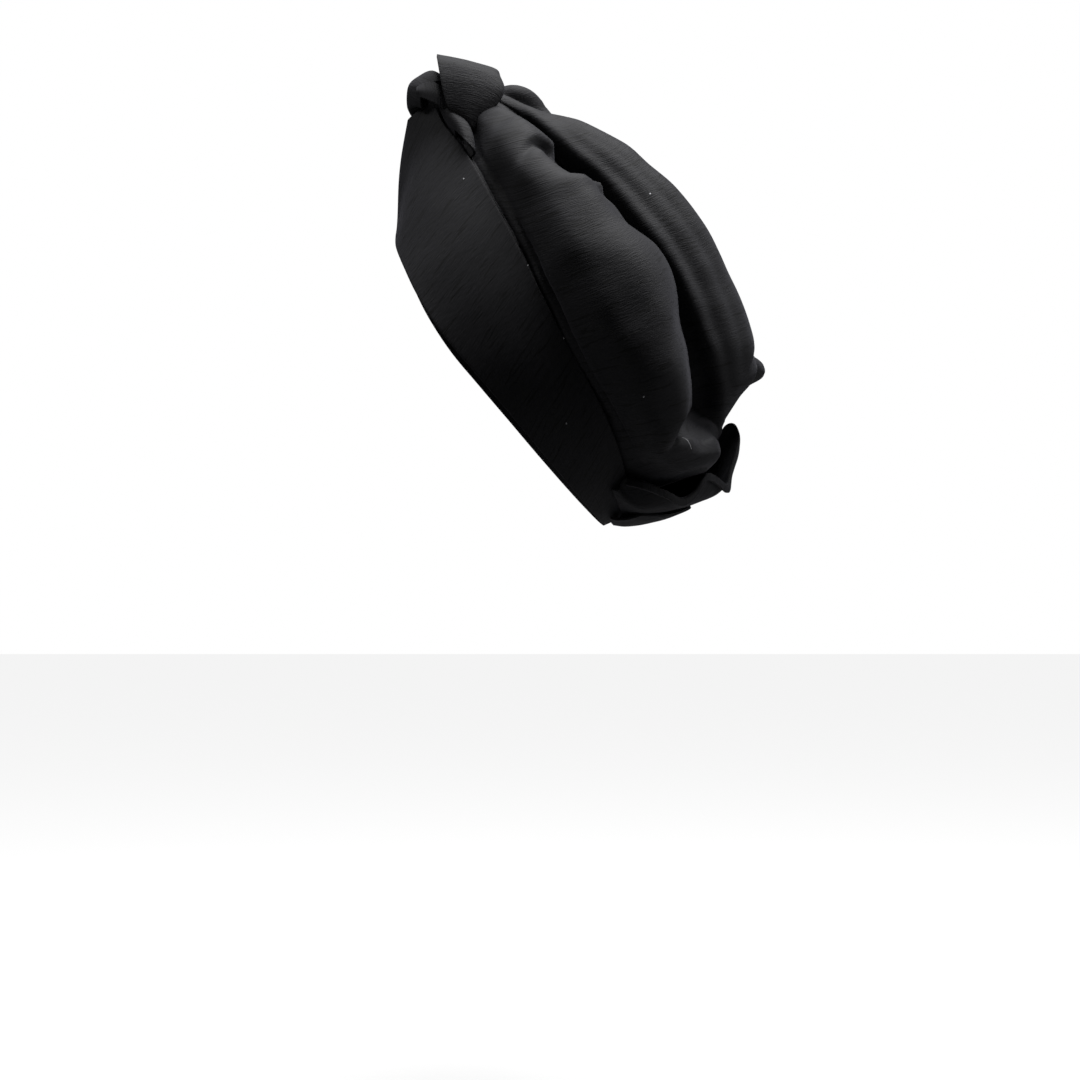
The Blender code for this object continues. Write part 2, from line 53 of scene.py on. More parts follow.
# The pattern of the wrap: the solid model's tables, with some of their rows drawn again. Places are shares: side of
# half the opening's width, back of half its length, up of the crown's height. Turns are degrees round the opening
# from the brow. Lengths that aren't called shares are metres.
BandRow = namedtuple("BandRow", "turn drop side back up")
BAND = [
    BandRow(0, 0.000, 0.00, -1.495, 0.305),
    BandRow(12, 0.008, 0.16, -1.475, 0.412),
    BandRow(25, 0.035, 0.31, -1.330, 0.400),
    BandRow(40, 0.060, 0.49, -1.120, 0.400),
    BandRow(55, 0.082, 0.70, -0.860, 0.378),
    BandRow(70, 0.088, 0.87, -0.575, 0.350),
    BandRow(85, 0.074, 0.98, -0.280, 0.315),
    BandRow(100, 0.058, 1.02, 0.030, 0.282),
    BandRow(115, 0.044, 0.99, 0.300, 0.260),
    BandRow(130, 0.030, 0.89, 0.545, 0.236),
    BandRow(145, 0.018, 0.69, 0.755, 0.200),
    BandRow(162, 0.006, 0.37, 0.925, 0.155),
    BandRow(180, 0.000, 0.00, 0.990, 0.135),
]
BAND_TILT = -0.3  # how far the way it bows leans down
BAND_BOW = 0.0020
HEM_SHARE = 0.72  # share of the way up the band, inside it, where a sheet starts
HEM_RISE = 0.0006  # how far above the band's edge it passes
HEM_OVER = (-0.0004, 0.0040)  # where it comes out over the band: out from its edge, and above it
CROWN_OVER = (-0.0040, 0.0000)  # the same for the crown, which rises from inside the band
NEXT = 0.0028  # from the middle of the band to the middle of the cloth inside it

# lip: low edge of the side roll; crest: its top; rise: where the top roll starts; ridge: back and up of its top
# belly, valley, puff: how full or deep between them; lift: how much higher the far side stands
CrownRow = namedtuple("CrownRow", "turn lip crest rise ridge belly valley puff lift")
CROWN = [
    CrownRow(33, (0.27, -1.312, 0.452), (0.24, -1.340, 0.560), (0.15, -1.375, 0.600), (-1.390, 0.625),
             0.01, 0.01, 0.01, 0.00),
    CrownRow(38, (0.38, -1.180, 0.452), (0.28, -1.200, 0.625), (0.17, -1.215, 0.660), (-1.215, 0.685),
             0.05, 0.02, 0.02, 0.060),
    CrownRow(46, (0.58, -1.005, 0.425), (0.42, -0.985, 0.680), (0.24, -1.030, 0.715), (-1.075, 0.745),
             0.08, 0.06, 0.03, 0.045),
    CrownRow(57, (0.77, -0.740, 0.405), (0.55, -0.800, 0.665), (0.36, -0.780, 0.760), (-0.900, 0.845),
             0.10, 0.09, 0.06, 0.04),
    CrownRow(66, (0.89, -0.560, 0.385), (0.67, -0.520, 0.725), (0.43, -0.520, 0.800), (-0.663, 0.915),
             0.11, 0.10, 0.08, 0.03),
    CrownRow(78, (1.01, -0.310, 0.350), (0.80, -0.225, 0.740), (0.52, -0.225, 0.815), (-0.367, 0.955),
             0.12, 0.12, 0.10, 0.02),
    CrownRow(91, (1.08, -0.050, 0.315), (0.90, 0.020, 0.762), (0.56, 0.050, 0.815), (-0.089, 0.963),
             0.12, 0.12, 0.10, 0.02),
    CrownRow(103, (1.10, 0.150, 0.292), (0.93, 0.235, 0.712), (0.58, 0.250, 0.795), (0.183, 0.942),
             0.12, 0.12, 0.10, 0.02),
    CrownRow(114, (1.08, 0.340, 0.278), (0.95, 0.430, 0.642), (0.57, 0.440, 0.760), (0.450, 0.900),
             0.12, 0.12, 0.10, 0.02),
    CrownRow(126, (1.01, 0.535, 0.268), (0.94, 0.610, 0.580), (0.52, 0.620, 0.725), (0.685, 0.862),
             0.10, 0.12, 0.08, 0.02),
    CrownRow(137, (0.93, 0.700, 0.262), (0.90, 0.730, 0.515), (0.44, 0.750, 0.692), (0.766, 0.850),
             0.08, 0.11, 0.06, 0.02),
    CrownRow(148, (0.84, 0.850, 0.262), (0.86, 0.800, 0.420), (0.34, 0.830, 0.655), (0.821, 0.745),
             0.05, 0.10, 0.03, 0.00),
    CrownRow(158, (0.73, 0.990, 0.308), (0.76, 0.925, 0.468), (0.24, 0.895, 0.616), (0.885, 0.660),
             0.04, 0.08, 0.01, 0.00),
    CrownRow(166, (0.60, 1.045, 0.390), (0.58, 0.995, 0.530), (0.17, 0.940, 0.600), (0.925, 0.630),
             0.03, 0.03, 0.00, 0.00),
    CrownRow(172, (0.36, 1.070, 0.385), (0.32, 1.020, 0.520), (0.10, 0.970, 0.585), (0.938, 0.605),
             0.02, 0.01, 0.00, 0.00),
    CrownRow(177, (0.012, 1.055, 0.370), (0.011, 1.020, 0.470), (0.010, 0.985, 0.545), (0.945, 0.580),
             0.01, 0.00, 0.00, 0.00),
]
LIP_RISE = 0.0034  # how far the lip stands above its place in the table, for the groove over the band
HEART = (0.40, 0.45)  # what the crown swells away from: share of the way back to the ridge, and up
BELLY_AT = (0.30, 0.75)  # shares of the way from lip to crest
BRINK_AT = 0.12  # share of the way from crest to rise
BRINK_DROP = 0.085  # share of the valley's depth
VALLEY_AT = (0.34, 0.84)
PUFF_AT = (0.22, 0.62)  # shares of the way from rise to ridge
PUFF_START = 0.95  # share of the puff

# The scalloped crest of the side roll. row: place on the crown's rows.
CrestPoint = namedtuple("CrestPoint", "row side back up")
CREST_LINE = [
    CrestPoint(0.60, 0.255, -1.255, 0.600),
    CrestPoint(1.10, 0.290, -1.170, 0.630),
    CrestPoint(1.55, 0.340, -1.090, 0.655),
    CrestPoint(2.00, 0.390, -0.995, 0.676),
    CrestPoint(2.35, 0.440, -0.925, 0.690),
    CrestPoint(2.65, 0.480, -0.868, 0.688),
    CrestPoint(2.85, 0.510, -0.830, 0.645),
    CrestPoint(3.40, 0.560, -0.700, 0.641),
    CrestPoint(3.75, 0.600, -0.600, 0.670),
    CrestPoint(3.95, 0.640, -0.535, 0.742),
    CrestPoint(4.20, 0.665, -0.470, 0.722),
    CrestPoint(4.50, 0.690, -0.385, 0.735),
    CrestPoint(4.90, 0.740, -0.260, 0.735),
    CrestPoint(5.20, 0.780, -0.165, 0.754),
    CrestPoint(5.60, 0.830, -0.070, 0.772),
    CrestPoint(6.20, 0.880, 0.070, 0.760),
    CrestPoint(6.90, 0.920, 0.228, 0.717),
    CrestPoint(7.60, 0.945, 0.381, 0.657),
    CrestPoint(8.50, 0.970, 0.530, 0.605),
    CrestPoint(9.60, 0.975, 0.690, 0.550),
    CrestPoint(10.3, 0.950, 0.768, 0.500),
    CrestPoint(10.7, 0.890, 0.765, 0.450),
    CrestPoint(11.0, 0.865, 0.775, 0.395),
    CrestPoint(11.4, 0.840, 0.835, 0.412),
    CrestPoint(12.0, 0.780, 0.900, 0.450),
    CrestPoint(12.6, 0.700, 0.948, 0.482),
    CrestPoint(13.0, 0.610, 0.975, 0.532),
]
FAR_CREST = 0.8  # how much of it the far roll shows
# How far each control near the crest follows it
CREST_PULL = {5: 0.45, 6: 1.0, 7: 0.8, 8: 0.3}
CREST_AT = 6  # the crest's own control

# side: 1 near, -1 far; start, end: (row, control) on the crown's net; width, height: shares of the crown's height
Fold = namedtuple("Fold", "side start end width height")
FOLDS = [
    Fold(1, (1.2, 2.55), (11.2, 2.5), 0.013, -0.026),
    Fold(-1, (0.4, 11.8), (1.9, 11.6), 0.035, 0.050),
    Fold(1, (1.6, 5.7), (1.9, 3.6), 0.035, -0.010),
    Fold(1, (2.7, 6.4), (2.9, 4.2), 0.024, -0.022),
    Fold(1, (3.0, 6.2), (3.1, 4.6), 0.020, 0.008),
    Fold(1, (3.8, 6.3), (3.3, 5.1), 0.028, 0.016),
    Fold(1, (4.1, 6.2), (3.7, 4.9), 0.022, -0.016),
    Fold(1, (4.9, 6.1), (4.5, 5.2), 0.030, -0.008),
    Fold(1, (11.2, 6.6), (10.3, 5.2), 0.024, -0.034),
    Fold(1, (11.9, 6.0), (11.1, 4.9), 0.022, 0.014),
    Fold(1, (8.6, 3.6), (11.0, 4.6), 0.050, 0.012),
    Fold(1, (1.6, 9.9), (11.2, 9.9), 0.030, 0.036),
    Fold(1, (2.2, 11.1), (10.4, 11.1), 0.040, -0.016),
    Fold(1, (8.3, 12.9), (9.6, 11.4), 0.030, -0.012),
    Fold(-1, (9.8, 12.6), (9.2, 10.8), 0.040, 0.050),
    Fold(-1, (1.6, 10.3), (11.2, 10.3), 0.034, 0.020),
    Fold(-1, (2.2, 11.1), (9.0, 11.1), 0.040, -0.014),
    Fold(-1, (2.8, 6.2), (2.5, 4.0), 0.045, -0.022),
    Fold(-1, (3.4, 6.0), (3.1, 4.0), 0.045, 0.018),
    Fold(-1, (4.0, 6.2), (3.7, 4.4), 0.040, -0.020),
    Fold(-1, (9.8, 6.2), (10.4, 4.8), 0.040, -0.024),
    Fold(-1, (8.6, 3.4), (11.0, 4.6), 0.050, 0.014),
]
FOLD_END = 0.12  # share of the half wave of its height that is left out at each end
FOLD_STEPS = 14  # for each row or control that a fold runs over

StrapRow = namedtuple("StrapRow", "side front rear")
STRAP = [
    StrapRow(0.00, (-1.685, 0.540), (-1.400, 0.698)),
    StrapRow(0.24, (-1.662, 0.532), (-1.385, 0.690)),
    StrapRow(0.33, (-1.570, 0.500), (-1.292, 0.668)),
    StrapRow(0.37, (-1.454, 0.464), (-1.240, 0.600)),
    StrapRow(0.38, (-1.351, 0.444), (-1.195, 0.530)),
    StrapRow(0.375, (-1.240, 0.456), (-1.190, 0.486)),
]
STRAP_BULGE = 0.0022  # how far its middle stands out
STRAP_TURN = 0.0095  # how much of its rear edge is turned under at the top
STRAP_TURN_FROM = 0.52  # share of the height where the turned edge starts to widen
STRAP_TURN_OVER = 0.12  # share of the height over which it gets its full width
STRAP_TURN_LEAST = 0.1  # share of the full width that it has lower down
STRAP_ROUND = 0.5  # how much of the height counts in the way outwards
STRAP_HEART = 0.02  # what is then taken off it

TongueRow = namedtuple("TongueRow", "back up half lift")
TONGUE = [
    TongueRow(-1.562, 0.335, 0.175, 0.040),
    TongueRow(-1.648, 0.388, 0.195, 0.020),
    TongueRow(-1.654, 0.438, 0.205, 0.002),
    TongueRow(-1.640, 0.488, 0.225, -0.004),
    TongueRow(-1.585, 0.512, 0.230, -0.005),
]
TONGUE_SWEEP = 0.10  # how far back its side edges lie at the top, as a share of half the length
TONGUE_TURN = 9.0  # how far to each side its foot reaches
TONGUE_STEPS = 9  # control points across

EarRow = namedtuple("EarRow", "upper lower")
EAR = [
    EarRow((0.175, -1.596, 0.400), (0.215, -1.556, 0.380)),
    EarRow((0.205, -1.585, 0.432), (0.270, -1.510, 0.396)),
    EarRow((0.250, -1.545, 0.468), (0.325, -1.440, 0.420)),
    EarRow((0.285, -1.425, 0.482), (0.345, -1.345, 0.444)),
]
EAR_BOW = 0.0016  # how far its middle stands out to the side

TuckRow = namedtuple("TuckRow", "turn ridge")
TUCK = [
    TuckRow(10.0, (0.175, -1.480, 0.400)),
    TuckRow(14.0, (0.235, -1.415, 0.430)),
    TuckRow(18.0, (0.290, -1.355, 0.452)),
    TuckRow(22.0, (0.375, -1.290, 0.466)),
    TuckRow(26.0, (0.440, -1.225, 0.468)),
    TuckRow(29.5, (0.490, -1.150, 0.452)),
    TuckRow(32.5, (0.525, -1.080, 0.425)),
]
TUCK_OVER = (0.0012, 0.0036)  # as HEM_OVER
TUCK_BOW = 0.0042  # how far it stands out to the side below the ridge
TUCK_BACK = (-0.035, 0.012, -0.035)  # from the ridge to the free edge behind it

CuffRow = namedtuple("CuffRow", "turn belly rim")
CUFF = [
    CuffRow(150, (0.575, 0.875, 0.135), (0.590, 0.870, 0.170)),
    CuffRow(155, (0.530, 0.985, 0.150), (0.590, 0.960, 0.225)),
    CuffRow(160, (0.490, 1.060, 0.180), (0.577, 1.050, 0.267)),
    CuffRow(165, (0.430, 1.120, 0.235), (0.526, 1.138, 0.300)),
    CuffRow(169, (0.360, 1.165, 0.290), (0.449, 1.145, 0.360)),
    CuffRow(173, (0.290, 1.190, 0.345), (0.372, 1.105, 0.442)),
    CuffRow(176, (0.200, 1.210, 0.390), (0.256, 1.160, 0.471)),
    CuffRow(180, (0.100, 1.220, 0.420), (0.141, 1.230, 0.489)),
    CuffRow(184, (0.000, 1.195, 0.430), (0.038, 1.168, 0.541)),
    CuffRow(187, (-0.100, 1.170, 0.430), (-0.077, 1.090, 0.618)),
    CuffRow(190, (-0.210, 1.175, 0.400), (-0.170, 1.035, 0.655)),
    CuffRow(193, (-0.310, 1.185, 0.380), (-0.280, 0.975, 0.668)),
    CuffRow(196, (-0.400, 1.180, 0.350), (-0.380, 0.955, 0.655)),
    CuffRow(200, (-0.500, 1.170, 0.310), (-0.500, 0.965, 0.620)),
    CuffRow(204, (-0.600, 1.130, 0.260), (-0.620, 1.030, 0.530)),
    CuffRow(207, (-0.660, 1.060, 0.220), (-0.700, 1.035, 0.420)),
    CuffRow(210, (-0.620, 0.915, 0.150), (-0.690, 0.930, 0.270)),
]
CUFF_FOOT = 0.60  # share of the way up the band
CUFF_SAG = 0.02  # how far out it sags above its foot, as a share of half the length
CUFF_TURN = (0.0030, -0.0022)  # out and up from the rim to the turned edge
SEATED = 0.0025  # from the middle of the band to the middle of the cloth outside it

# top: share of the way from the cuff's foot to its belly; puff: share of half the length
RollRow = namedtuple("RollRow", "turn top puff")
ROLL = [
    RollRow(164, 0.44, 0.015),
    RollRow(171, 0.68, 0.022),
    RollRow(180, 0.72, 0.026),
    RollRow(189, 0.66, 0.028),
    RollRow(196, 0.60, 0.024),
    RollRow(202, 0.40, 0.015),
]
ROLL_FOOT = 0.30  # share of the way up the band
ROLL_TOP_OUT = 0.0024  # from the middle of the cuff to the roll's top edge
ROLL_LOW = (0.15, 0.8)  # share of the way from foot to top, and of the puff
ROLL_HIGH = (0.60, 1.0)

EDGE_SHARE = 0.35  # how much of the cloth's thickness its soft edges take
EDGE_ANGLE = math.radians(60)
NEARBY = 0.05  # share of a cell of the net that a slope is read over
SEAM_APART = 1.0  # how far the weave of one half of the band is moved on from the other's

# How much a step to the side, back and up counts along the strip when the weave is laid on it
BAND_WEAVE = (1, 1, 0)
CROWN_WEAVE = (0.3, 1, 0)

# How the cloth gives: the height and the size of its soft dents in metres, and the number that places them
BAND_GIVE = (0.0006, 0.030, 1)
CROWN_GIVE = (0.0016, 0.022, 2)
STRAP_GIVE = (0.0005, 0.015, 3)
TONGUE_GIVE = (0.0004, 0.012, 4)
CUFF_GIVE = (0.0006, 0.014, 5)
ROLL_GIVE = (0.0005, 0.014, 6)
SEED_STEP = (7.31, 3.17, 5.53)  # how far each step of that number moves them

# How finely each piece is cut: cells along and across
BAND_CELLS = (300, 44)
CROWN_CELLS = (190, 240)
STRAP_CELLS = (84, 34)
TONGUE_CELLS = (60, 40)
EAR_CELLS = (36, 18)
TUCK_CELLS = (44, 40)
CUFF_CELLS = (150, 52)
ROLL_CELLS = (90, 30)


def linear(code):
    """A colour as linear red, green and blue, from its sRGB hex code."""
    shares = [int(code[i:i + 2], 16) / 255 for i in (1, 3, 5)]
    return tuple(c / 12.92 if c <= 0.04045 else ((c + 0.055) / 1.055) ** 2.4 for c in shares)


# The silk's weave. Pitches are shares of the weft's pitch; lengths are metres along a thread.
WANDER_SCALE = 55.0
WANDER = 0.0030  # how far apart the noise can move two threads
RIB_PITCH, RIB_LENGTH, RIB_RELIEF = 0.6, 0.005, 0.6
BAR_PITCH, BAR_LENGTH, BAR_RELIEF = 3.0, 0.045, 0.35
BAR_FROM, BAR_FULL = 0.3, 0.7  # the noise where a bar is darkest and where it is palest
BAR_TONE = 0.15  # how much darker and paler than the ground that is
SLUB_PITCH, SLUB_LENGTH = 1.6, 0.020
SLUB_FROM, SLUB_FULL = 0.715, 0.75  # the noise where a slub's painted shade starts and where it is full
LINT_SCALE = 25.0  # cells a metre, each with room for one speck
LINT_SIZE = 0.010  # share of a cell
LINT_ABOVE = 0.66  # only cells with a random grey above this have their speck
RELIEF_STRENGTH = 0.7
RELIEF = 0.0005
ROUGHNESS, IOR, SPECULAR = 0.72, 1.5, 0.25
SHEEN, SHEEN_ROUGHNESS, SHEEN_TINT = 0.10, 0.45, "#c9c9d6"

# The studio. Places and sizes are metres, powers are watts.
Lamp = namedtuple("Lamp", "name place size power")
LAMPS = [
    Lamp("top", (0.0, 0.25, 1.2), 0.7, 27.0),
    Lamp("front", (0.0, -1.0, 1.0), 0.6, 4.2),
    Lamp("back", (0.2, 1.5, 0.45), 0.6, 6.0),
]
LIT_PLACE = (0, 0.02, 0.03)  # what the lamps are turned to
FLOOR_REACH, FLOOR_LEVEL, FLOOR_ROUGHNESS = 6.0, -0.40, 0.9
FLOOR_GLOW = (0.9, 0.9, 0.9, 1.0)
SKY_SEEN, SKY_CAST = 1.0, 0.004  # how bright the white sky is to the camera, and as light on the wrap
CAMERA_PLACE = (1.6, 0.0228, -0.0912)
LENS, SENSOR = 93.57, 36.0  # millimetres


class WrapSizes(bpy.types.PropertyGroup):
    opening_length: bpy.props.FloatProperty(
        name="Opening length", description="From brow to nape at the middle of the cloth",
        default=0.202, min=0.15, max=0.25, unit="LENGTH")
    opening_width: bpy.props.FloatProperty(
        name="Opening width", description="From side to side at the middle of the cloth",
        default=0.156, min=0.12, max=0.20, unit="LENGTH")
    crown_height: bpy.props.FloatProperty(
        name="Crown height", description="From the opening to the top, square to the opening",
        default=0.143, min=0.10, max=0.18, unit="LENGTH")
    lean: bpy.props.FloatProperty(
        name="Lean", description="How far the opening leans back when the wrap is worn",
        default=math.radians(54.6), min=0.0, max=1.5, subtype="ANGLE")
    cloth: bpy.props.FloatProperty(
        name="Cloth", description="Thickness of the folded silk with its backing",
        default=0.0014, min=0.0005, max=0.003, unit="LENGTH")
    weft: bpy.props.FloatProperty(
        name="Weft", description="From one thick weft thread to the next, drawn coarser than it is so that it shows",
        default=0.0011, min=0.0003, max=0.004, unit="LENGTH")


class WrapColours(bpy.types.PropertyGroup):
    silk: bpy.props.FloatVectorProperty(
        name="Silk", description="The black of the dupion", size=3, subtype="COLOR",
        default=linear("#18181b"), min=0.0, max=1.0)
    # painted shade: the thick places in the weft are drawn darker than the silk, standing in for the shade they cast
    slub_shade: bpy.props.FloatVectorProperty(
        name="Slubs", description="The deeper black of the thick places in the weft", size=3, subtype="COLOR",
        default=linear("#060607"), min=0.0, max=1.0)
    lint: bpy.props.FloatVectorProperty(
        name="Lint", description="The few pale specks on the cloth", size=3, subtype="COLOR",
        default=linear("#b9b9bd"), min=0.0, max=1.0)
    floor: bpy.props.FloatVectorProperty(
        name="Floor", description="The pale floor", size=3, subtype="COLOR",
        default=linear("#7c7c7c"), min=0.0, max=1.0)


def unit(vector):
    """A vector, or each vector of an array, brought to length one."""
    return vector / np.maximum(np.linalg.norm(vector, axis=-1, keepdims=True), 1e-12)


def through(rows, places, ring=False):
    """Reads a smooth curve through rows of points at fractional row numbers."""
    rows = np.asarray(rows, float)
    count = len(rows)
    ahead = np.roll(rows, -1, axis=0) if ring else rows[1:]
    chord = np.linalg.norm(ahead - rows[:len(ahead)], axis=-1)
    span = np.sqrt(chord.reshape(len(ahead), -1).mean(axis=1)) + 1e-9
    span = span.reshape((-1,) + (1,) * (rows.ndim - 1))
    slope = (ahead - rows[:len(ahead)]) / span
    if ring:
        before, width_before = np.roll(slope, 1, axis=0), np.roll(span, 1, axis=0)
        tangent = (slope * width_before + before * span) / (span + width_before)
    else:
        inner = (slope[1:] * span[:-1] + slope[:-1] * span[1:]) / (span[1:] + span[:-1])
        tangent = np.concatenate([slope[:1], inner, slope[-1:]])
    places = np.asarray(places, float)
    low = np.floor(places).astype(int)
    low = low % count if ring else np.clip(low, 0, count - 2)
    t = (places - np.floor(places) if ring else places - low).reshape((-1,) + (1,) * (rows.ndim - 1))
    high = (low + 1) % count if ring else low + 1
    width = span[low]
    return ((2 * t**3 - 3 * t**2 + 1) * rows[low] + (t**3 - 2 * t**2 + t) * width * tangent[low]
            + (3 * t**2 - 2 * t**3) * rows[high] + (t**3 - t**2) * width * tangent[high])


def across(grid, places):
    """Reads the smooth surface of a grid at fractional column numbers."""
    return np.swapaxes(through(np.swapaxes(grid, 0, 1), places), 0, 1)


def evenly(net, cells):
    """A grid of so many cells along and across the surface through a net."""
    net = np.array(net)
    rows = through(net, np.linspace(0, len(net) - 1, cells[0] + 1))
    return across(rows, np.linspace(0, net.shape[1] - 1, cells[1] + 1))


def normals(grid):
    """The outward direction at each point of a grid."""
    return unit(np.cross(np.gradient(grid, axis=0), np.gradient(grid, axis=1)))


class Pattern:
    """The wrap's shape for the sizes in the sidebar. Lengths are metres, upright on the opening."""

    def __init__(self, sizes):
        self.width = sizes.opening_width / 2
        self.length = sizes.opening_length / 2
        self.height = sizes.crown_height
        self.ring = self.band_ring()

    def at(self, side, back, up):
        """A place from its shares of the half width, the half length and the height."""
        return np.array((side * self.width, back * self.length, up * self.height))

    def band_ring(self):
        """The lower edge, the bowed middle and the upper edge of the band, right round the opening."""
        rows = []
        for row in BAND:
            angle = math.radians(row.turn)
            low = np.array((self.width * math.sin(angle), -self.length * math.cos(angle), -row.drop * self.height))
            high = self.at(row.side, row.back, row.up)
            outward = unit(np.array((math.sin(angle), -math.cos(angle), BAND_TILT)))
            rows.append((low, (low + high) / 2 + BAND_BOW * outward, high))
        near = np.array(rows)
        return np.concatenate([near, near[-2:0:-1] * (-1, 1, 1)])

    def off(self, net, row, column, out, above=0.0, ring=False):
        """A place on the surface through a net, moved off along its normal and on along its columns."""
        here, ahead, behind = through(net, [row, row + NEARBY, row - NEARBY], ring=ring)
        point, before = through(here, [column, column - NEARBY])
        upward = unit(point - before)
        onward = through(ahead, [column])[0] - through(behind, [column])[0]
        return point + out * unit(np.cross(onward, upward)) + above * upward

    def on_band(self, turn, share, out=0.0, above=0.0):
        """A place share of the way up the band, moved outwards and on past its upper edge."""
        turn = turn % 360
        last = len(BAND) - 1
        place = np.interp(min(turn, 360 - turn), [row.turn for row in BAND], range(last + 1))
        return self.off(self.ring, place if turn <= 180 else 2 * last - place, 2 * share, out, above, ring=True)

    def hem(self, turn, over=HEM_OVER):
        """Where a sheet starts inside the band, passes its upper edge and comes out over it."""
        return [
            self.on_band(turn, HEM_SHARE, -NEXT),
            self.on_band(turn, 1.0, -NEXT, HEM_RISE),
            self.on_band(turn, 1.0, *over),
        ]

    def crown_half(self, row, side):
        """The control points across one half of the crown, from its hem to the top roll."""
        lift = 0.0 if side > 0 else row.lift * self.height
        mirror = np.array((side, 1, 1))
        lip, crest, rise = (self.at(*share) * mirror for share in (row.lip, row.crest, row.rise))
        lip = lip + (0, 0, LIP_RISE)
        crest = crest + (0, 0, lift)
        rise = rise + (0, 0, lift)
        ridge = self.at(0, *row.ridge)
        heart = self.at(0, HEART[0] * row.ridge[0], HEART[1])

        def swell(start, end, share, height):
            """A place between two points, raised away from the heart of the crown."""
            point = start + share * (end - start)
            chord = unit(end - start)
            outward = point - heart
            outward = unit(outward - chord * np.dot(chord, outward))
            return point + height * self.height * outward

        return self.hem(side * row.turn) + [
            lip,
            swell(lip, crest, BELLY_AT[0], row.belly),
            swell(lip, crest, BELLY_AT[1], row.belly),
            crest,
            swell(crest, rise, BRINK_AT, -BRINK_DROP * row.valley),
            swell(crest, rise, VALLEY_AT[0], -row.valley),
            swell(crest, rise, VALLEY_AT[1], -row.valley),
            rise,
            swell(rise, ridge, PUFF_AT[0], PUFF_START * row.puff),
            swell(rise, ridge, PUFF_AT[1], row.puff),
        ]

    def crown_net(self):
        """The control points of the whole crown, from hem to hem over the top."""
        return np.array([self.crown_half(row, 1) + [self.at(0, *row.ridge)] + self.crown_half(row, -1)[::-1]
                         for row in CROWN])

    def cuff_net(self):
        """The control points of the cuff, from the band up to its rim."""
        net = []
        for row in CUFF:
            foot = self.on_band(row.turn, CUFF_FOOT, SEATED)
            belly = self.at(*row.belly)
            sag = CUFF_SAG * self.length * unit(foot * (1, 1, 0))
            rim = self.at(*row.rim)
            turned = rim + CUFF_TURN[0] * unit(rim * (1, 1, 0)) + (0, 0, CUFF_TURN[1])
            net.append([foot, (foot + belly) / 2 + sag, belly, rim, turned])
        return np.array(net)


def press_folds(grid, net, height):
    """Raises and hollows the crown along its folds, each fading out towards its ends."""
    outward = normals(grid)
    last = net.shape[1] - 1
    moved = grid.copy()
    for fold in FOLDS:
        nearest = np.full(grid.shape[:2], np.inf)
        rise = np.zeros(grid.shape[:2])
        reach = abs(fold.end[0] - fold.start[0]) + abs(fold.end[1] - fold.start[1])
        for share in np.linspace(0, 1, int(FOLD_STEPS * (1 + reach))):
            row, control = (a + share * (b - a) for a, b in zip(fold.start, fold.end))
            if fold.side < 0:
                control = last - control
            centre = through(through(net, [row])[0], [control])[0]
            distance = np.linalg.norm(grid - centre, axis=-1)
            closer = distance < nearest
            nearest = np.where(closer, distance, nearest)
            rise = np.where(closer, fold.height * math.sin(math.pi * (FOLD_END + (1 - 2 * FOLD_END) * share)), rise)
        moved += outward * (rise * np.exp(-(nearest / (fold.width * height)) ** 2))[..., None] * height
    return moved


def grain(grid, counts):
    """How far each point lies along the strip, and across it as the weft runs.

    counts: how much a step to the side, back and up counts along the strip.
    """
    steps = np.diff(grid, axis=0) * counts
    run = np.concatenate([np.zeros((1, grid.shape[1])), np.cumsum(np.linalg.norm(steps, axis=-1), axis=0)])
    spans = np.linalg.norm(np.diff(grid, axis=1), axis=-1)
    width = np.concatenate([np.zeros((len(grid), 1)), np.cumsum(spans, axis=1)], axis=1)
    return run - run[len(grid) // 2], width - width.mean(axis=1, keepdims=True)


def ruffle(grid, height, size, seed):
    """Lets the cloth give a little, with soft dents of a given height and size."""
    outward = normals(grid)
    shift = Vector([seed * step for step in SEED_STEP])
    give = np.array([[noise.noise(Vector(point) / size + shift) for point in row] for row in grid])
    return grid + outward * (height * give)[..., None]


def add_node(tree, kind, inputs=None, **settings):
    """Adds a shader node with its settings, and sets or links its inputs."""
    node = tree.nodes.new(kind)
    for key, value in settings.items():
        setattr(node, key, value)
    for socket, value in (inputs or {}).items():
        if isinstance(value, bpy.types.NodeSocket):
            tree.links.new(value, node.inputs[socket])
        else:
            node.inputs[socket].default_value = value
    return node


